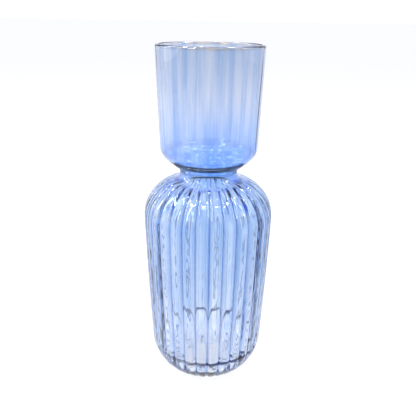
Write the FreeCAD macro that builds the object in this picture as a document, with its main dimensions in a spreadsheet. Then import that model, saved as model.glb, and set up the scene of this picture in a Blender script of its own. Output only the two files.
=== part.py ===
import FreeCAD, Part
import math
import os
import Sketcher
from FreeCAD import Vector

# A free-standing vase of moulded glass: a smooth open cup, a pinched waist, and a ribbed body with a
# rounded heel. It stands on its foot at z = 0 with its axis along +Z. Millimetres throughout.
# The glass is one continuous wall. It is divided on level planes, where its form changes, so that each
# section is a closed solid that meets the next one face to face.

DIMENSIONS = [
    # alias, value, meaning
    ("overall_height", 260.0, "foot to rim"),
    ("rim_radius", 39.0, "outer radius of the mouth"),
    ("lip_round", 1.4, "rounding of both edges of the polished lip"),
    ("lip_height", 3.0, "height of the lip"),
    ("cup_wall", 3.0, "thickness of the cup's side"),
    ("cup_radius", 36.3, "outer radius at the foot of the cup's side"),
    ("cup_side_end", 187.5, "height at the foot of the cup's side"),
    ("cup_corner", 11.0, "outer rounding of the cup's bottom corner"),
    ("cup_underside", 34.0, "outer rounding of the cup's underside"),
    ("cup_hollow_corner", 8.0, "inner rounding of the cup's bottom corner"),
    ("waist_radius", 21.8, "least outer radius"),
    ("waist_round", 5.6, "rounding of the waist, seen in section"),
    ("waist_height", 168.1, "height at which the cup hands over to the collar"),
    ("throat_radius", 15.4, "least radius of the hollow"),
    ("throat_round", 9.6, "rounding of the throat, seen in section"),
    ("body_radius", 49.2, "greatest radius, over the ribs"),
    ("body_widest", 134.0, "height of the greatest radius"),
    ("body_wall", 5.0, "thickness of the body, over the ribs"),
    ("shoulder_round", 29.3, "outer rounding of the shoulder"),
    ("side_lean", 1.7, "degrees by which the side leans in just below the shoulder"),
    ("heel_radius", 44.4, "outer radius where the side turns into the heel"),
    ("heel_height", 30.0, "height where the side turns into the heel"),
    ("heel_round", 34.8, "outer rounding of the upper heel"),
    ("foot_radius", 16.5, "radius of the flat foot"),
    ("floor_thickness", 9.0, "glass over the foot"),
    ("floor_radius", 22.0, "radius of the level floor inside"),
    ("rib_ring", 162.6, "height at which the ribs begin, under the smooth collar"),
    ("rib_count", 30, "ribs round the body"),
    ("rib_depth", 1.8, "depth of the grooves between the ribs, at the greatest radius"),
    ("rib_power", 4, "power of a rib's cross-section: 2 is evenly round, more has a flatter crest"),
    ("rib_onset", 9.0, "length along which a groove deepens below the collar"),
    ("rib_runout", 10.0, "length along which a groove dies out at the foot"),
]

doc = FreeCAD.newDocument("vase")
sheet = doc.addObject("Spreadsheet::Sheet", "Dimensions")
for row, (alias, value, meaning) in enumerate(DIMENSIONS, start=1):
    sheet.set("A%d" % row, meaning)
    sheet.set("B%d" % row, str(value))
    sheet.setAlias("B%d" % row, alias)
doc.recompute()


def size(alias):
    """The value of one driving dimension."""
    return float(sheet.get(alias))


# ---------------------------------------------------------------- outlines: radius and height in section

def ray(degrees):
    """Unit vector at an angle from level, in the plane of a section."""
    return Vector(math.cos(math.radians(degrees)), math.sin(math.radians(degrees)), 0)


def angle_of(vector):
    return math.degrees(math.atan2(vector.y, vector.x))


def crossing(centre_a, radius_a, centre_b, radius_b, side):
    """Where two circles cross, on the left (+1) or right (-1) of the way from centre_a to centre_b."""
    way = centre_b - centre_a
    along = (radius_a ** 2 - radius_b ** 2 + way.Length ** 2) / (2 * way.Length)
    across = math.sqrt(radius_a ** 2 - along ** 2)
    way.normalize()
    return centre_a + way * along + Vector(-way.y, way.x, 0) * side * across


def arc(centre, radius, start, end):
    """Arc from one angle to another, anticlockwise."""
    circle = Part.Circle(centre, Vector(0, 0, 1), radius)
    return Part.ArcOfCircle(circle, math.radians(start), math.radians(end))


def side_and_corner(mouth, foot, rounding):
    """The cup's leaning side, and the centre of the corner that is tangent to it at its foot."""
    lean = angle_of(mouth - foot) - 90
    return Part.LineSegment(mouth, foot), foot - ray(lean) * rounding, lean


def lower_body(shoulder_centre, shoulder_rounding, shoulder_top, heel, heel_rounding, foot):
    """Shoulder, side, upper heel and lower heel: four arcs, each tangent to the next."""
    lean = size("side_lean")
    side_top = shoulder_centre + ray(-lean) * shoulder_rounding
    chord = heel - side_top
    turn = 2 * (-90 - lean - angle_of(chord))
    side_rounding = abs(chord.Length / (2 * math.sin(math.radians(turn / 2))))
    side_centre = side_top - ray(-lean) * side_rounding
    heel_lean = angle_of(heel - side_centre)
    upper_centre = heel - ray(heel_lean) * heel_rounding
    drop = upper_centre.y - foot.y
    reach = foot.x - upper_centre.x
    lower_rounding = (heel_rounding ** 2 - reach ** 2 - drop ** 2) / (2 * (heel_rounding - drop))
    lower_centre = foot + Vector(0, lower_rounding, 0)
    handover = angle_of(lower_centre - upper_centre)
    return [
        arc(shoulder_centre, shoulder_rounding, -lean, shoulder_top),
        arc(side_centre, side_rounding, heel_lean, -lean),
        arc(upper_centre, heel_rounding, handover, heel_lean),
        arc(lower_centre, lower_rounding, -90, handover),
    ]


def outer_outline():
    """The glass's outer outline over the ribs, from the lip down to the foot."""
    height, rim, lip = size("overall_height"), size("rim_radius"), size("lip_round")
    foot_of_side = Vector(size("cup_radius"), size("cup_side_end"), 0)
    mouth = Vector(rim, height - lip, 0)
    side, corner_centre, lean = side_and_corner(mouth, foot_of_side, size("cup_corner"))
    lip_arc = arc(mouth - Vector(lip, 0, 0), lip, 0, 90)
    shoulder_centre = Vector(size("body_radius") - size("shoulder_round"), size("body_widest"), 0)
    waist_r = size("waist_radius") + size("waist_round")
    reach = size("waist_round") + size("shoulder_round")
    waist_z = shoulder_centre.y + math.sqrt(reach ** 2 - (waist_r - shoulder_centre.x) ** 2)
    waist_centre = Vector(waist_r, waist_z, 0)
    underside_centre = crossing(corner_centre, size("cup_underside") - size("cup_corner"),
                                waist_centre, size("cup_underside") + size("waist_round"), -1)
    corner_turn = angle_of(corner_centre - underside_centre)
    underside_turn = angle_of(waist_centre - underside_centre)
    shoulder_top = angle_of(waist_centre - shoulder_centre)
    chain = [
        lip_arc,
        side,
        arc(corner_centre, size("cup_corner"), corner_turn, lean),
        arc(underside_centre, size("cup_underside"), underside_turn, corner_turn),
        arc(waist_centre, size("waist_round"), underside_turn + 180, shoulder_top + 180),
    ]
    heel = Vector(size("heel_radius"), size("heel_height"), 0)
    foot = Vector(size("foot_radius"), 0, 0)
    chain += lower_body(shoulder_centre, size("shoulder_round"), shoulder_top, heel, size("heel_round"), foot)
    return chain


def hollow_outline():
    """The outline of the space inside, from the lip down to the floor."""
    height, lip = size("overall_height"), size("lip_round")
    wall = size("cup_wall")
    mouth = Vector(size("rim_radius") - wall, height - lip, 0)
    foot_of_side = Vector(size("cup_radius") - wall, size("cup_side_end"), 0)
    shoulder_centre = Vector(size("body_radius") - size("shoulder_round"), size("body_widest"), 0)
    shoulder_rounding = size("shoulder_round") - size("body_wall")
    throat_r = size("throat_radius") + size("throat_round")
    reach = size("throat_round") + shoulder_rounding
    throat_z = shoulder_centre.y + math.sqrt(reach ** 2 - (throat_r - shoulder_centre.x) ** 2)
    throat_centre = Vector(throat_r, throat_z, 0)
    # The corner is tangent to the side's line and to the throat: it slides down the line until they meet.
    side, corner_centre, lean = side_and_corner(mouth, foot_of_side, size("cup_hollow_corner"))
    way = foot_of_side - mouth
    way.normalize()
    gap = throat_centre - corner_centre
    along = gap.dot(way)
    across = math.sqrt(gap.Length ** 2 - along ** 2)
    meeting = size("cup_hollow_corner") + size("throat_round")
    slide = along - math.sqrt(meeting ** 2 - across ** 2)
    corner_centre = corner_centre + way * slide
    foot_of_side = foot_of_side + way * slide
    floor_turn = angle_of(throat_centre - corner_centre)
    shoulder_top = angle_of(throat_centre - shoulder_centre)
    chain = [
        arc(mouth + Vector(lip, 0, 0), lip, 90, 180),
        Part.LineSegment(mouth, foot_of_side),
        arc(corner_centre, size("cup_hollow_corner"), floor_turn, lean),
        arc(throat_centre, size("throat_round"), floor_turn + 180, shoulder_top + 180),
    ]
    heel = Vector(size("heel_radius") - size("body_wall"), size("heel_height"), 0)
    floor = Vector(size("floor_radius"), size("floor_thickness"), 0)
    heel_rounding = size("heel_round") - size("body_wall")
    chain += lower_body(shoulder_centre, shoulder_rounding, shoulder_top, heel, heel_rounding, floor)
    return chain


# ---------------------------------------------------------------- sketches and solids of revolution

START, END = 1, 2


def upper_end(edge):
    """Which end of a chain's edge comes first on the way from the lip to the foot."""
    first, last = edge.StartPoint, edge.EndPoint
    return START if first.y > last.y else END


def draw(sketch, chain, top_z, bottom_z):
    """Draw a closed half section: the chain, level lines at its top and bottom, and the axis."""
    ids = [sketch.addGeometry(edge, False) for edge in chain]
    first, last = chain[0], chain[-1]
    top_point = first.StartPoint if upper_end(first) == START else first.EndPoint
    bottom_point = last.EndPoint if upper_end(last) == START else last.StartPoint
    top = sketch.addGeometry(Part.LineSegment(Vector(0, top_z, 0), top_point), False)
    bottom = sketch.addGeometry(Part.LineSegment(bottom_point, Vector(0, bottom_z, 0)), False)
    axis = sketch.addGeometry(Part.LineSegment(Vector(0, bottom_z, 0), Vector(0, top_z, 0)), False)
    for index in range(len(chain) - 1):
        above = START + END - upper_end(chain[index])
        below = upper_end(chain[index + 1])
        sketch.addConstraint(Sketcher.Constraint("Tangent", ids[index], above, ids[index + 1], below))
    sketch.addConstraint(Sketcher.Constraint("Tangent", top, END, ids[0], upper_end(first)))
    sketch.addConstraint(Sketcher.Constraint("Tangent", ids[-1], START + END - upper_end(last), bottom, START))
    sketch.addConstraint(Sketcher.Constraint("Coincident", bottom, END, axis, START))
    sketch.addConstraint(Sketcher.Constraint("Coincident", axis, END, top, START))
    sketch.addConstraint(Sketcher.Constraint("PointOnObject", axis, START, -2))
    sketch.addConstraint(Sketcher.Constraint("PointOnObject", axis, END, -2))
    sketch.addConstraint(Sketcher.Constraint("Horizontal", top))
    sketch.addConstraint(Sketcher.Constraint("Horizontal", bottom))
    return ids, bottom, axis


def bind(sketch, kind, name, points, expression):
    """Add a named dimension to a sketch and bind it to the sheet."""
    value = float(sketch.evalExpression(expression))
    index = sketch.addConstraint(Sketcher.Constraint(kind, *points, value))
    sketch.renameConstraint(index, name)
    sketch.setExpression("Constraints." + name, expression)


ORIGIN = (-1, START)
CENTRE = 3


def bind_upper(sketch, lip, side, wall_expression):
    """Dimensions that both outlines share above the waist."""
    bind(sketch, "Radius", "lip_rounding", (lip,), "Dimensions.lip_round")
    bind(sketch, "DistanceX", "mouth_radius", ORIGIN + (side, START), "Dimensions.rim_radius" + wall_expression)
    bind(sketch, "DistanceX", "side_radius", ORIGIN + (side, END), "Dimensions.cup_radius" + wall_expression)


def bind_lower(sketch, shoulder, side, heel, bottom, wall_expression, foot_alias):
    """Dimensions that both outlines share from the shoulder down."""
    rounding = "(Dimensions.shoulder_round" + wall_expression + ")"
    bind(sketch, "Radius", "shoulder_rounding", (shoulder,), rounding)
    bind(sketch, "DistanceX", "shoulder_centre_radius", ORIGIN + (shoulder, CENTRE),
         "Dimensions.body_radius - Dimensions.shoulder_round")
    bind(sketch, "DistanceY", "shoulder_centre_height", ORIGIN + (shoulder, CENTRE), "Dimensions.body_widest")
    bind(sketch, "DistanceY", "shoulder_drop", (shoulder, START, shoulder, CENTRE),
         rounding + " * sin(Dimensions.side_lean * 1 deg)")
    bind(sketch, "DistanceX", "heel_start_radius", ORIGIN + (side, START),
         "Dimensions.heel_radius" + wall_expression)
    bind(sketch, "DistanceY", "heel_start_height", ORIGIN + (side, START), "Dimensions.heel_height")
    bind(sketch, "Radius", "heel_rounding", (heel,), "Dimensions.heel_round" + wall_expression)
    bind(sketch, "DistanceX", "level_radius", ORIGIN + (bottom, START), "Dimensions." + foot_alias)


def draw_form(sketch):
    """The half section of the whole outer form, over the ribs."""
    ids, bottom, axis = draw(sketch, outer_outline(), size("overall_height"), 0)
    lip, side, corner, underside, waist, shoulder, body_side, heel, lower_heel = ids
    bind_upper(sketch, lip, side, "")
    bind(sketch, "DistanceY", "side_end", ORIGIN + (side, END), "Dimensions.cup_side_end")
    bind(sketch, "Radius", "corner_rounding", (corner,), "Dimensions.cup_corner")
    bind(sketch, "Radius", "underside_rounding", (underside,), "Dimensions.cup_underside")
    bind(sketch, "Radius", "waist_rounding", (waist,), "Dimensions.waist_round")
    bind(sketch, "DistanceX", "waist_centre_radius", ORIGIN + (waist, CENTRE),
         "Dimensions.waist_radius + Dimensions.waist_round")
    bind_lower(sketch, shoulder, body_side, heel, bottom, "", "foot_radius")
    bind(sketch, "DistanceY", "height", (axis, START, axis, END), "Dimensions.overall_height")
    sketch.addConstraint(Sketcher.Constraint("PointOnObject", axis, START, -1))


def draw_hollow(sketch):
    """The half section of the space inside, which is open at the top."""
    chain = hollow_outline()
    ids, bottom, axis = draw(sketch, chain, size("overall_height"), size("floor_thickness"))
    lip, side, corner, throat, shoulder, body_side, heel, lower_heel = ids
    bind_upper(sketch, lip, side, " - Dimensions.cup_wall")
    bind(sketch, "Radius", "corner_rounding", (corner,), "Dimensions.cup_hollow_corner")
    bind(sketch, "Radius", "throat_rounding", (throat,), "Dimensions.throat_round")
    bind(sketch, "DistanceX", "throat_centre_radius", ORIGIN + (throat, CENTRE),
         "Dimensions.throat_radius + Dimensions.throat_round")
    bind_lower(sketch, shoulder, body_side, heel, bottom, " - Dimensions.body_wall", "floor_radius")
    bind(sketch, "DistanceY", "floor_height", ORIGIN + (axis, START), "Dimensions.floor_thickness")
    bind(sketch, "DistanceY", "top_height", ORIGIN + (axis, END), "Dimensions.overall_height")


def turned_body(name, draw_section):
    """A solid of revolution about +Z, from a half section drawn on the XZ plane."""
    body = doc.addObject("PartDesign::Body", name)
    sketch = body.newObject("Sketcher::SketchObject", name + "_section")
    plane = [item for item in body.Origin.OriginFeatures if item.Role == "XZ_Plane"][0]
    sketch.AttachmentSupport = [(plane, "")]
    sketch.MapMode = "FlatFace"
    doc.recompute()
    draw_section(sketch)
    doc.recompute()
    turned = body.newObject("PartDesign::Revolution", name + "_turned")
    turned.Profile = sketch
    turned.ReferenceAxis = (sketch, ["V_Axis"])
    turned.Angle = 360
    body.Tip = turned
    doc.recompute()
    return body, sketch


# ---------------------------------------------------------------- the ribbed form

ALONG_ARC = 12
ACROSS_RIB = 10


def smooth_step(value):
    value = min(max(value, 0.0), 1.0)
    return value * value * (3 - 2 * value)


def crest_line(sketch):
    """Points down a rib's crest, each with its outward normal and its distance along the line."""
    shoulder, side, heel, lower_heel = sketch.Geometry[5:9]
    ring_angle = math.asin((size("rib_ring") - shoulder.Center.y) / shoulder.Radius)
    spans = [(shoulder, ring_angle, shoulder.FirstParameter)]
    spans += [(edge, edge.LastParameter, edge.FirstParameter) for edge in (side, heel, lower_heel)]
    line, travelled = [], 0.0
    for edge, first, last in spans:
        first, last = math.remainder(first, 2 * math.pi), math.remainder(last, 2 * math.pi)
        for step in range(ALONG_ARC + 1):
            if line and step == 0:
                continue
            normal = ray(math.degrees(first + (last - first) * step / ALONG_ARC))
            point = edge.Center + normal * edge.Radius
            travelled += point.distanceToPoint(line[-1][0]) if line else 0.0
            line.append((point, normal, travelled))
    return line


def groove_depth(point, travelled, total):
    """Depth of the groove beside a crest point: in proportion to the radius, and nothing at either end."""
    depth = size("rib_depth") * point.x / size("body_radius")
    onset = smooth_step(travelled / size("rib_onset"))
    runout = smooth_step((total - travelled) / size("rib_runout"))
    return depth * onset * runout


def rib_surface(line, middle, pitch):
    """One rounded rib from groove to groove, centred on an angle about the axis."""
    total = line[-1][2]
    power = size("rib_power")
    rows = []
    for point, normal, travelled in line:
        depth = groove_depth(point, travelled, total)
        row = []
        for step in range(ACROSS_RIB + 1):
            across = 2.0 * step / ACROSS_RIB - 1
            section = point - normal * depth * abs(across) ** power
            angle = middle + across * pitch / 2
            row.append(Vector(section.x * math.cos(angle), section.x * math.sin(angle), section.y))
        rows.append(row)
    surface = Part.BSplineSurface()
    surface.interpolate(rows)
    return surface.toShape()


def level_cap(faces, height):
    """The flat face that closes the ribs at a height where their ends are level."""
    edges = []
    for face in faces:
        edges += [edge for edge in face.Edges if abs(edge.BoundBox.ZMin - height) < 1e-6
                  and abs(edge.BoundBox.ZMax - height) < 1e-6]
    return Part.Face(Part.Wire(Part.sortEdges(edges)[0]))


def ribbed_solid(sketch):
    line = crest_line(sketch)
    count = int(size("rib_count"))
    pitch = 2 * math.pi / count
    faces = [rib_surface(line, index * pitch, pitch) for index in range(count)]
    caps = [level_cap(faces, size("rib_ring")), level_cap(faces, 0.0)]
    skin = Part.Compound(faces + caps)
    skin.sewShape(1e-5)
    return Part.Solid(skin.Shells[0])


# ---------------------------------------------------------------- assembly of the sections

form, form_sketch = turned_body("outer_form", draw_form)
hollow, hollow_sketch = turned_body("hollow", draw_hollow)

ribbed_form = doc.addObject("Part::Feature", "ribbed_form")
ribbed_form.Shape = ribbed_solid(form_sketch)
ribbed_form.Placement = FreeCAD.Placement()


def cut(name, base, tool):
    feature = doc.addObject("Part::Cut", name)
    feature.Base = base
    feature.Tool = tool
    return feature


def section(name, glass, bottom, top):
    """The stretch of glass between two heights, as a sub-part of its own."""
    slab = doc.addObject("Part::Box", name + "_slab")
    slab.setExpression("Length", "3 * Dimensions.body_radius")
    slab.setExpression("Width", "3 * Dimensions.body_radius")
    slab.setExpression("Height", top + " - " + bottom)
    slab.setExpression("Placement.Base.x", "-1.5 * Dimensions.body_radius")
    slab.setExpression("Placement.Base.y", "-1.5 * Dimensions.body_radius")
    slab.setExpression("Placement.Base.z", bottom)
    part = doc.addObject("Part::Common", name)
    part.Base = glass
    part.Tool = slab
    part.Label = name
    part.Placement = FreeCAD.Placement()
    return part


smooth_glass = cut("smooth_glass", form, hollow)
ribbed_glass = cut("ribbed_glass", ribbed_form, hollow)

FOOT = "0 * Dimensions.overall_height"
HEEL = "Dimensions.heel_height"
WIDEST = "Dimensions.body_widest"
RING = "Dimensions.rib_ring"
WAIST = "Dimensions.waist_height"
LIP = "(Dimensions.overall_height - Dimensions.lip_height)"
RIM = "Dimensions.overall_height"

PARTS = [
    section("rim", smooth_glass, LIP, RIM),
    section("upper_cup", smooth_glass, WAIST, LIP),
    section("neck", smooth_glass, RING, WAIST),
    section("ribbed_shoulder", ribbed_glass, WIDEST, RING),
    section("ribbed_side", ribbed_glass, HEEL, WIDEST),
    section("base", ribbed_glass, FOOT, HEEL),
]
doc.recompute()

# ---------------------------------------------------------------- checks and export

for item in doc.Objects:
    if "Invalid" in item.State or "Error" in item.State:
        raise RuntimeError("%s failed: %s" % (item.Label, item.State))
for part in PARTS:
    if part.Shape.isNull() or not part.Shape.isValid() or len(part.Shape.Solids) != 1:
        raise RuntimeError("%s has no single valid solid" % part.Label)

os.makedirs("parts", exist_ok=True)
for part in PARTS:
    part.Shape.exportStep("parts/%s.step" % part.Label)
    box = part.Shape.BoundBox
    print("%-16s %8.0f mm3  z %.1f to %.1f" % (part.Label, part.Shape.Volume, box.ZMin, box.ZMax))
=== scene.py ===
import math
import bpy
from mathutils import Matrix, Vector, noise


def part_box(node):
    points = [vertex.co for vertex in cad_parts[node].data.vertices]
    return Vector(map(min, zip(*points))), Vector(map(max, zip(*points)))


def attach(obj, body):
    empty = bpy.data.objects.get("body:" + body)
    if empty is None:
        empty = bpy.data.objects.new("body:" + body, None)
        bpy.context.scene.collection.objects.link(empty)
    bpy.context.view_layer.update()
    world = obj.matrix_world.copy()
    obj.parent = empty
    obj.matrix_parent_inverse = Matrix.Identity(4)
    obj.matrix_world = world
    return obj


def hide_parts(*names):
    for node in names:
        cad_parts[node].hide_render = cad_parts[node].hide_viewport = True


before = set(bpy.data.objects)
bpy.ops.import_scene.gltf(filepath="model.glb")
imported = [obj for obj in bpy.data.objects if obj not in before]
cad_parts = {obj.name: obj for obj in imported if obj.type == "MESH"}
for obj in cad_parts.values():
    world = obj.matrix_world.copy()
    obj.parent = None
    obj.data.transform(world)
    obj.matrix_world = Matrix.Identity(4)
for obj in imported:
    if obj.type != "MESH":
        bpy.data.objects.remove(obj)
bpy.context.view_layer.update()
NODES = ("rim", "upper_cup", "neck", "ribbed_shoulder", "ribbed_side", "base")

# Driving dimensions of the glass, in metres. They are the CAD model's own.
MM = 0.001
LIP_ROUND = 1.4 * MM
CUP_WALL = 3.0 * MM
CUP_CORNER = 11.0 * MM
CUP_UNDERSIDE = 34.0 * MM
CUP_HOLLOW_CORNER = 8.0 * MM
CUP_RADIUS = 36.3 * MM
CUP_SIDE_END = 187.5 * MM
WAIST_RADIUS = 21.8 * MM
WAIST_ROUND = 5.6 * MM
THROAT_RADIUS = 15.4 * MM
THROAT_ROUND = 9.6 * MM
BODY_RADIUS = 49.2 * MM
BODY_WALL = 5.0 * MM
SHOULDER_ROUND = 29.3 * MM
SIDE_LEAN = math.radians(1.7)
HEEL_RADIUS = 44.4 * MM
HEEL_ROUND = 34.8 * MM
FOOT_RADIUS = 16.5 * MM
FLOOR_THICKNESS = 9.0 * MM
FLOOR_RADIUS = 22.0 * MM
RIB_COUNT = 30
RIB_DEPTH = 1.8 * MM
RIB_POWER = 4
RIB_ONSET = 9.0 * MM
RIB_RUNOUT = 10.0 * MM

# Heights where the CAD sections meet.
RIM_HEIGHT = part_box("rim")[1][2]
RIM_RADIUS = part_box("rim")[1][0]
RIB_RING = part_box("neck")[0][2]
BODY_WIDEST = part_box("ribbed_shoulder")[0][2]
HEEL_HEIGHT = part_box("base")[1][2]

# Fineness of the mesh, and the least depth or height that counts as a groove or as off the foot.
COLUMNS_PER_RIB = 16
COLUMNS = RIB_COUNT * COLUMNS_PER_RIB
ROW_STEP = 1.6 * MM
LEAST_ROWS = 7
LEAST_STEP = 0.1 * MM

# Unevenness of the wall of the hollow: a slow ripple, and a fine one that the cup has less of.
SLOW_RIPPLE = 0.08 * MM
SLOW_WAVES = 12.0
SLOW_STRETCH = 0.060
FINE_RIPPLE = 0.10 * MM
FINE_RIPPLE_IN_CUP = 0.02 * MM
FINE_WAVES = 12.0
FINE_STRETCH = 0.006

# Colour of the glass itself, and of its blue skin at heights in millimetres. The skin is clear below a
# painted dark shadow line, deeper at the waist partly as painted shade, and warm on the lip as a painted
# reflection.
GLASS_COLOR = (0.35, 0.50, 0.70, 1)
GLASS_DENSITY = 12.0
TINTS = [
    (0, (0.98, 0.98, 0.98)),
    (23.0, (0.98, 0.98, 0.98)),
    # Painted shadow: a nearly black band just above the foot, standing in for a dark edge seen through
    # the base.
    (23.6, (0.0, 0.001, 0.03)),
    (26.6, (0.0, 0.001, 0.03)),
    (27.4, (0.88, 0.90, 0.92)),
    (50, (0.80, 0.84, 0.88)),
    (90, (0.49, 0.60, 0.72)),
    (140, (0.53, 0.66, 0.80)),
    (160, (0.66, 0.79, 0.91)),
    # Deeper blue at the waist: partly the glass's depth there and partly painted shade, where the cup's
    # underside shows dark reflections.
    (169, (0.155, 0.39, 0.96)),
    (176, (0.21, 0.43, 0.98)),
    (200, (0.50, 0.62, 0.83)),
    (220, (0.65, 0.70, 0.79)),
    (257.8, (0.50, 0.58, 0.68)),
    # Painted reflection: the warm lip stands in for brown surroundings seen in the polished edge.
    (258.8, (0.72, 0.60, 0.44)),
]
EDGE_WANDER = 0.8 * MM
EDGE_SCALE = (120.0, 120.0, 120.0)
EDGE_CONTRAST = (0.3, 0.7)
# Painted light: the skin's tint turns paler towards the left side, where the light falls on the body.
PAINTED_LIGHT_SIDE = (0.0, -BODY_RADIUS)
MOST_PAINTED_LIGHT = 0.30
STREAK_SCALE = (140.0, 140.0, 4.0)
STREAK_CONTRAST = (0.40, 0.62)
STREAK_TINT = (0.50, 0.66, 0.90, 1)
STREAK_RELIEF = 0.02 * MM
# Painted shade: a deeper blue towards the bottom of every groove.
GROOVE_SHADE_POWER = 5
GROOVE_SHADE_TINT = (0.01, 0.20, 0.66, 1)
HAZE_SCALE = (40.0, 40.0, 15.0)
HAZE_CONTRAST = (0.45, 0.75)
MOST_HAZE = 0.03

# The studio: name, place, width, height and watts of each light, all aimed at the vase. The strongest
# are seen in reflections only, so that they don't burn out the glass in front of them.
LIGHTS = [
    ("left_wall", (-1.5, 0.0, 0.9), 1.5, 2.6, 18.0),
    ("right_wall", (1.5, 0.0, 0.9), 1.5, 2.6, 8.0),
    ("left_strip", (-1.0, 0.25, 0.75), 0.10, 0.9, 6.0),
    ("left_front_strip", (-0.8, -0.8, 0.9), 0.15, 0.9, 7.0),
    ("right_strip", (1.0, -0.2, 0.8), 0.06, 0.8, 3.0),
]
MOST_SEEN_THROUGH = 7.5
SPOTS = 9
SPOT_CIRCLE = 0.7
SPOT_HEIGHT = 1.5
SPOT_SIDE = 0.15
SPOT_POWER = 4.2
FLOOR_GLOW = 0.90
FLOOR_COLOR = (0.15, 0.15, 0.15, 1)
FLOOR_REACH = 30.0
FLOOR_GAP = 0.02 * MM
HORIZON = (1.1, 1.1, 1.1, 1)
ZENITH = (0.08, 0.20, 1.1, 1)
SKY_RISE = (0.15, 0.6)


# ------------------------------------------------------------ the outline, in section

def ray(angle):
    return Vector((math.cos(angle), math.sin(angle)))


def angle_of(vector):
    return math.atan2(vector.y, vector.x)


def crossing(centre_a, radius_a, centre_b, radius_b):
    """Where two circles cross, on the right of the way from centre_a to centre_b."""
    way = centre_b - centre_a
    along = (radius_a ** 2 - radius_b ** 2 + way.length_squared) / (2 * way.length)
    across = math.sqrt(radius_a ** 2 - along ** 2)
    way.normalize()
    return centre_a + way * along + Vector((way.y, -way.x)) * across


def arc(centre, radius, start, end, outward=1):
    """Points and surface normals along an arc; outward is -1 where the glass is outside the circle."""
    rows = max(LEAST_ROWS, round(abs(end - start) * radius / ROW_STEP))
    points = []
    for row in range(rows + 1):
        normal = ray(start + (end - start) * row / rows)
        points.append((centre + normal * radius, normal * outward))
    return points


def line(start, end, normal):
    rows = max(2, round((end - start).length / ROW_STEP))
    return [(start.lerp(end, row / rows), normal) for row in range(rows + 1)]


def joined(spans):
    """One run of points out of several spans that meet end to end."""
    run = list(spans[0])
    for span in spans[1:]:
        run += span[1:]
    return run


def lower_body(rounding, top, heel, heel_rounding, level, outward):
    """Shoulder, side, upper heel and lower heel: four arcs, each tangent to the next."""
    centre = shoulder_centre()
    side_top = centre + ray(-SIDE_LEAN) * rounding
    chord = heel - side_top
    turn = 2 * (-math.pi / 2 - SIDE_LEAN - angle_of(chord))
    side_rounding = abs(chord.length / (2 * math.sin(turn / 2)))
    side_centre = side_top - ray(-SIDE_LEAN) * side_rounding
    heel_lean = angle_of(heel - side_centre)
    upper_centre = heel - ray(heel_lean) * heel_rounding
    drop, reach = upper_centre.y - level.y, level.x - upper_centre.x
    lower_rounding = (heel_rounding ** 2 - reach ** 2 - drop ** 2) / (2 * (heel_rounding - drop))
    lower_centre = level + Vector((0, lower_rounding))
    handover = angle_of((upper_centre - lower_centre) * (lower_rounding - heel_rounding))
    return [
        arc(centre, rounding, top, -SIDE_LEAN, outward),
        arc(side_centre, side_rounding, -SIDE_LEAN, heel_lean, outward),
        arc(upper_centre, heel_rounding, heel_lean, handover, outward),
        arc(lower_centre, lower_rounding, handover, -math.pi / 2, outward),
    ]


def shoulder_centre():
    return Vector((BODY_RADIUS - SHOULDER_ROUND, BODY_WIDEST))


def hollow_above(least_radius, rounding, shoulder_rounding):
    """Centre of the arc of least radius that is tangent to the shoulder."""
    centre = shoulder_centre()
    radius = least_radius + rounding
    height = centre.y + math.sqrt((rounding + shoulder_rounding) ** 2 - (radius - centre.x) ** 2)
    return Vector((radius, height))


def cup_lean(mouth, side_foot):
    """Angle of the outward normal of the cup's straight side."""
    return angle_of(mouth - side_foot) - math.pi / 2


def outer_run():
    """From the lip down to the foot, over the ribs' crests."""
    mouth = Vector((RIM_RADIUS, RIM_HEIGHT - LIP_ROUND))
    side_foot = Vector((CUP_RADIUS, CUP_SIDE_END))
    lean = cup_lean(mouth, side_foot)
    corner = side_foot - ray(lean) * CUP_CORNER
    waist = hollow_above(WAIST_RADIUS, WAIST_ROUND, SHOULDER_ROUND)
    underside = crossing(corner, CUP_UNDERSIDE - CUP_CORNER, waist, CUP_UNDERSIDE + WAIST_ROUND)
    corner_turn = angle_of(corner - underside)
    underside_turn = angle_of(waist - underside)
    top = angle_of(waist - shoulder_centre())
    spans = [
        arc(mouth - Vector((LIP_ROUND, 0)), LIP_ROUND, math.pi / 2, lean),
        line(mouth, side_foot, ray(lean)),
        arc(corner, CUP_CORNER, lean, corner_turn),
        arc(underside, CUP_UNDERSIDE, corner_turn, underside_turn),
        arc(waist, WAIST_ROUND, underside_turn + math.pi, top + math.pi, -1),
    ]
    heel, foot = Vector((HEEL_RADIUS, HEEL_HEIGHT)), Vector((FOOT_RADIUS, 0))
    return joined(spans + lower_body(SHOULDER_ROUND, top, heel, HEEL_ROUND, foot, 1))


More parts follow.
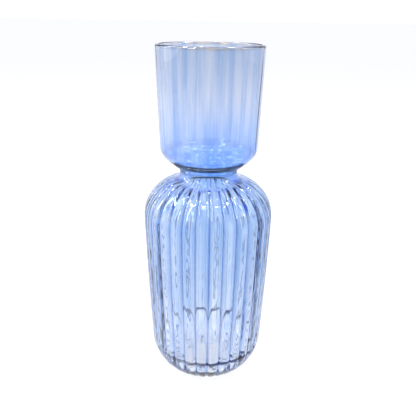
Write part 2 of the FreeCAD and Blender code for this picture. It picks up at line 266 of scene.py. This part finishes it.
def hollow_run():
    """From the lip down to the floor, along the wall of the space inside."""
    mouth = Vector((RIM_RADIUS - CUP_WALL, RIM_HEIGHT - LIP_ROUND))
    side_foot = Vector((CUP_RADIUS - CUP_WALL, CUP_SIDE_END))
    lean = cup_lean(mouth, side_foot)
    rounding = SHOULDER_ROUND - BODY_WALL
    throat = hollow_above(THROAT_RADIUS, THROAT_ROUND, rounding)
    corner = side_foot - ray(lean) * CUP_HOLLOW_CORNER
    way = (side_foot - mouth).normalized()
    gap = throat - corner
    along = gap.dot(way)
    across = gap.length_squared - along ** 2
    slide = way * (along - math.sqrt((CUP_HOLLOW_CORNER + THROAT_ROUND) ** 2 - across))
    floor_turn = angle_of(throat - corner - slide)
    top = angle_of(throat - shoulder_centre())
    spans = [
        arc(mouth + Vector((LIP_ROUND, 0)), LIP_ROUND, math.pi / 2, math.pi + lean),
        line(mouth, side_foot + slide, -ray(lean)),
        arc(corner + slide, CUP_HOLLOW_CORNER, lean, floor_turn, -1),
        arc(throat, THROAT_ROUND, floor_turn + math.pi, top + math.pi),
    ]
    heel = Vector((HEEL_RADIUS - BODY_WALL, HEEL_HEIGHT))
    level = Vector((FLOOR_RADIUS, FLOOR_THICKNESS))
    return joined(spans + lower_body(rounding, top, heel, HEEL_ROUND - BODY_WALL, level, -1))


# ------------------------------------------------------------ the glass mesh

def smooth_step(value):
    value = min(max(value, 0.0), 1.0)
    return value * value * (3 - 2 * value)


def groove_depths(run):
    """Depth of the grooves at each point of the outer run; nothing above the collar or on the foot."""
    travelled, total = [], 0.0
    for index, (point, _) in enumerate(run):
        if index and point.y < RIB_RING:
            total += (point - run[index - 1][0]).length
        travelled.append(total)
    depths = []
    for (point, _), way in zip(run, travelled):
        depth = RIB_DEPTH * point.x / BODY_RADIUS
        depths.append(depth * smooth_step(way / RIB_ONSET) * smooth_step((total - way) / RIB_RUNOUT))
    return depths


def across_rib(column):
    """-1 and 1 in the grooves, 0 on the crest of a rib."""
    place = (column / COLUMNS_PER_RIB + 0.5) % 1.0
    return 2 * place - 1


def ripple(height, angle, waves, stretch, seed):
    """Noise around the axis, drawn out along it."""
    return noise.noise((math.cos(angle) * waves, math.sin(angle) * waves, height / stretch + seed))


def unevenness(point, angle):
    """How far the wall of the hollow stands from its true shape; the lip and the floor are true."""
    if point.y > RIM_HEIGHT - 2 * LIP_ROUND or point.x < FLOOR_RADIUS / 2:
        return 0.0
    fine = FINE_RIPPLE if point.y < RIB_RING else FINE_RIPPLE_IN_CUP
    slow = SLOW_RIPPLE * ripple(point.y, angle, SLOW_WAVES, SLOW_STRETCH, 3.1)
    return slow + fine * ripple(point.y, angle, FINE_WAVES, FINE_STRETCH, 7.7)


def ring_points(point, normal, depth, inside):
    ring = []
    for column in range(COLUMNS):
        angle = 2 * math.pi * column / COLUMNS
        offset = -depth * abs(across_rib(column)) ** RIB_POWER
        if inside:
            offset += unevenness(point, angle)
        place = point + normal * offset
        ring.append((place.x * math.cos(angle), place.x * math.sin(angle), place.y))
    return ring


def glass_rows():
    """Up the hollow from the floor to the lip, then down the outside to the foot."""
    outer, hollow = outer_run(), hollow_run()
    rows = [(point, normal, 0.0, True) for point, normal in reversed(hollow)]
    for (point, normal), depth in zip(outer, groove_depths(outer)):
        rows.append((point, normal, depth, False))
    return rows


def skin_faces(row_count):
    """Quads between the rings, and a fan over the floor and under the foot."""
    floor = row_count * COLUMNS
    foot = floor + 1
    last = floor - COLUMNS
    faces = []
    for column in range(COLUMNS):
        after = (column + 1) % COLUMNS
        for low in range(0, last, COLUMNS):
            high = low + COLUMNS
            faces.append((low + column, high + column, high + after, low + after))
        faces.append((floor, column, after))
        faces.append((foot, last + after, last + column))
    return faces


def glass_mesh():
    """One closed skin round all the glass."""
    rows = glass_rows()
    vertices = []
    for row in rows:
        vertices += ring_points(*row)
    vertices += [(0, 0, FLOOR_THICKNESS), (0, 0, 0)]
    mesh = bpy.data.meshes.new("vase_glass")
    mesh.from_pydata(vertices, [], skin_faces(len(rows)))
    mesh.update()
    mesh.shade_smooth()
    sharpen_grooves(mesh, rows)
    mark_skin_and_groove_shade(mesh, rows)
    return mesh


def sharpen_grooves(mesh, rows):
    """A crease along the bottom of every groove."""
    grooved = [row[2] > LEAST_STEP for row in rows]
    for edge in mesh.edges:
        first, second = sorted(edge.vertices)
        if second - first != COLUMNS or second >= len(rows) * COLUMNS:
            continue
        row, column = divmod(first, COLUMNS)
        in_groove = (column + COLUMNS_PER_RIB // 2) % COLUMNS_PER_RIB == 0
        edge.use_edge_sharp = in_groove and grooved[row] and grooved[row + 1]


def mark_skin_and_groove_shade(mesh, rows):
    """Where the blue skin is, and how deep the painted shade lies in the grooves."""
    coated, groove_shade = [], []
    for point, _, depth, inside in rows:
        on_lip = point.y > RIM_HEIGHT - LIP_ROUND
        on_outside = not inside and point.y > LEAST_STEP
        coated += [float(on_lip or on_outside)] * COLUMNS
        # Painted shade: strongest at the bottom of each groove.
        share = depth / RIB_DEPTH
        groove_shade += [share * abs(across_rib(column)) ** GROOVE_SHADE_POWER for column in range(COLUMNS)]
    for name, values in (("skin", coated), ("groove", groove_shade)):
        mesh.attributes.new(name, "FLOAT", "POINT").data.foreach_set("value", values + [0.0, 0.0])


# ------------------------------------------------------------ materials

def node(tree, kind, **values):
    """A shader node with its inputs set."""
    made = tree.nodes.new(kind)
    for name, value in values.items():
        made.inputs[name.replace("_", " ")].default_value = value
    return made


def attribute(tree, name):
    made = tree.nodes.new("ShaderNodeAttribute")
    made.attribute_name = name
    return made.outputs["Fac"]


def ranged(tree, value, source, target):
    """A socket's value carried from one range to another."""
    made = node(tree, "ShaderNodeMapRange", From_Min=source[0], From_Max=source[1],
                To_Min=target[0], To_Max=target[1])
    tree.links.new(value, made.inputs["Value"])
    return made.outputs["Result"]


def cloudy(tree, place, scale):
    """Noise with its own scale along each axis."""
    stretch = node(tree, "ShaderNodeMapping", Scale=scale)
    made = node(tree, "ShaderNodeTexNoise", Scale=1.0, Detail=3.0, Roughness=0.6)
    tree.links.new(place, stretch.inputs["Vector"])
    tree.links.new(stretch.outputs["Vector"], made.inputs["Vector"])
    return made.outputs["Fac"]


def mixed(tree, blend, factor, first, second):
    """The colour that a Mix node makes of two colours, each a socket or a constant."""
    made = tree.nodes.new("ShaderNodeMix")
    made.data_type, made.blend_type = "RGBA", blend
    tree.links.new(factor, made.inputs["Factor"])
    for socket, color in (("A", first), ("B", second)):
        if isinstance(color, tuple):
            made.inputs[socket].default_value = color
        else:
            tree.links.new(color, made.inputs[socket])
    return made.outputs["Result"]


def tint_at_height(tree, place):
    """The skin's colour from the height, with its painted shadow line, waist shade and lip reflection,
    shifted a little so that its edges wander.
    """
    split = tree.nodes.new("ShaderNodeSeparateXYZ")
    tree.links.new(place, split.inputs["Vector"])
    wander = ranged(tree, cloudy(tree, place, EDGE_SCALE), EDGE_CONTRAST, (-EDGE_WANDER, EDGE_WANDER))
    level = tree.nodes.new("ShaderNodeMath")
    level.operation = "ADD"
    tree.links.new(split.outputs["Z"], level.inputs[0])
    tree.links.new(wander, level.inputs[1])
    ramp = tree.nodes.new("ShaderNodeValToRGB")
    elements = ramp.color_ramp.elements
    while len(elements) < len(TINTS):
        elements.new(1.0)
    for element, (height, color) in zip(elements, TINTS):
        element.position = height * MM / RIM_HEIGHT
        element.color = color + (1,)
    tree.links.new(ranged(tree, level.outputs["Value"], (0, RIM_HEIGHT), (0, 1)), ramp.inputs["Fac"])
    return ramp.outputs["Color"]


def skin_color_with_painted_light(tree, place, streaks):
    """The tint at each height: paler to the left as painted light, deeper in streaks, deeper in the
    grooves as painted shade, clear without skin.
    """
    split = tree.nodes.new("ShaderNodeSeparateXYZ")
    tree.links.new(place, split.inputs["Vector"])
    # Painted light: the tint turns paler towards the left.
    left_painted_light = ranged(tree, split.outputs["X"], PAINTED_LIGHT_SIDE, (0, MOST_PAINTED_LIGHT))
    lit_left_tint = mixed(tree, "MIX", left_painted_light, tint_at_height(tree, place), (1, 1, 1, 1))
    amount = ranged(tree, streaks, STREAK_CONTRAST, (0, 1))
    streaked = mixed(tree, "MULTIPLY", amount, lit_left_tint, STREAK_TINT)
    # Painted shade, deeper towards the bottom of each groove.
    grooved = mixed(tree, "MULTIPLY", attribute(tree, "groove"), streaked, GROOVE_SHADE_TINT)
    return mixed(tree, "MULTIPLY", attribute(tree, "skin"), (1, 1, 1, 1), grooved)


def blue_glass():
    material = bpy.data.materials.new("blue_glass")
    material.use_nodes = True
    tree = material.node_tree
    shader = tree.nodes["Principled BSDF"]
    shader.inputs["Transmission Weight"].default_value = 1.0
    shader.inputs["IOR"].default_value = 1.5
    place = tree.nodes.new("ShaderNodeTexCoord").outputs["Object"]
    streaks = cloudy(tree, place, STREAK_SCALE)
    haze = ranged(tree, cloudy(tree, place, HAZE_SCALE), HAZE_CONTRAST, (0, MOST_HAZE))
    relief = node(tree, "ShaderNodeBump", Strength=1.0, Distance=STREAK_RELIEF)
    absorption = node(tree, "ShaderNodeVolumeAbsorption", Color=GLASS_COLOR, Density=GLASS_DENSITY)
    tree.links.new(streaks, relief.inputs["Height"])
    tree.links.new(relief.outputs["Normal"], shader.inputs["Normal"])
    tree.links.new(haze, shader.inputs["Roughness"])
    tree.links.new(skin_color_with_painted_light(tree, place, streaks), shader.inputs["Base Color"])
    tree.links.new(absorption.outputs["Volume"], tree.nodes["Material Output"].inputs["Volume"])
    return material


def floor_material():
    material = bpy.data.materials.new("pale_floor")
    material.use_nodes = True
    shader = material.node_tree.nodes["Principled BSDF"]
    shader.inputs["Base Color"].default_value = FLOOR_COLOR
    shader.inputs["Roughness"].default_value = 0.9
    shader.inputs["Specular IOR Level"].default_value = 0.1
    shader.inputs["Emission Color"].default_value = (1, 1, 1, 1)
    shader.inputs["Emission Strength"].default_value = FLOOR_GLOW
    return material


# ------------------------------------------------------------ the scene

def add_object(name, data):
    made = bpy.data.objects.new(name, data)
    bpy.context.scene.collection.objects.link(made)
    return made


def add_vase():
    vase = add_object("vase_glass", glass_mesh())
    vase.data.materials.append(blue_glass())
    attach(vase, "root")
    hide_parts(*NODES)


def add_floor():
    mesh = bpy.data.meshes.new("floor")
    signs = [(-1, -1), (1, -1), (1, 1), (-1, 1)]
    corners = [(x * FLOOR_REACH, y * FLOOR_REACH, 0) for x, y in signs]
    mesh.from_pydata(corners, [], [(0, 1, 2, 3)])
    mesh.materials.append(floor_material())
    floor = add_object("floor", mesh)
    floor.location.z = -FLOOR_GAP


def add_light(name, place, width, height, power):
    light = bpy.data.lights.new(name, "AREA")
    light.shape = "RECTANGLE"
    light.size, light.size_y = width, height
    light.energy = power
    made = add_object(name, light)
    made.location = place
    aim = Vector((0, 0, RIM_HEIGHT / 2)) - made.location
    made.rotation_euler = aim.to_track_quat("-Z", "Y").to_euler()
    made.visible_transmission = power < MOST_SEEN_THROUGH


def add_lights():
    for light in LIGHTS:
        add_light(*light)
    for index in range(SPOTS):
        angle = 2 * math.pi * index / SPOTS + 0.3
        place = (SPOT_CIRCLE * math.cos(angle), SPOT_CIRCLE * math.sin(angle), SPOT_HEIGHT)
        add_light("spot_%d" % index, place, SPOT_SIDE, SPOT_SIDE, SPOT_POWER)


def add_world():
    """White at the horizon and behind the vase, blue overhead in what the glass shows."""
    world = bpy.data.worlds.new("studio")
    world.use_nodes = True
    tree = world.node_tree
    place = tree.nodes.new("ShaderNodeTexCoord")
    split = tree.nodes.new("ShaderNodeSeparateXYZ")
    tree.links.new(place.outputs["Generated"], split.inputs["Vector"])
    rise = ranged(tree, split.outputs["Z"], SKY_RISE, (0, 1))
    sky = mixed(tree, "MIX", rise, HORIZON, ZENITH)
    seen = tree.nodes.new("ShaderNodeLightPath").outputs["Is Camera Ray"]
    backdrop = mixed(tree, "MIX", seen, sky, HORIZON)
    tree.links.new(backdrop, tree.nodes["Background"].inputs["Color"])
    bpy.context.scene.world = world


def add_camera():
    """A hand-held view from the front, a little above the rim, with a slight turn and roll."""
    distance, height, target_height = 1.5 * RIM_HEIGHT, 1.073 * RIM_HEIGHT, 0.5316 * RIM_HEIGHT
    yaw, roll = math.radians(1.5), math.radians(0.85)
    camera = bpy.data.cameras.new("camera")
    camera.lens = 46.27
    camera.sensor_width = 36
    made = add_object("camera", camera)
    made.location = (-distance * math.sin(yaw), -distance * math.cos(yaw), height)
    look = (Vector((0, 0, target_height)) - made.location).to_track_quat("-Z", "Y")
    made.rotation_euler = (look.to_matrix() @ Matrix.Rotation(roll, 3, "Z")).to_euler()
    bpy.context.scene.camera = made


add_vase()
add_floor()
add_lights()
add_world()
add_camera()
bpy.context.scene.view_settings.view_transform = "Standard"
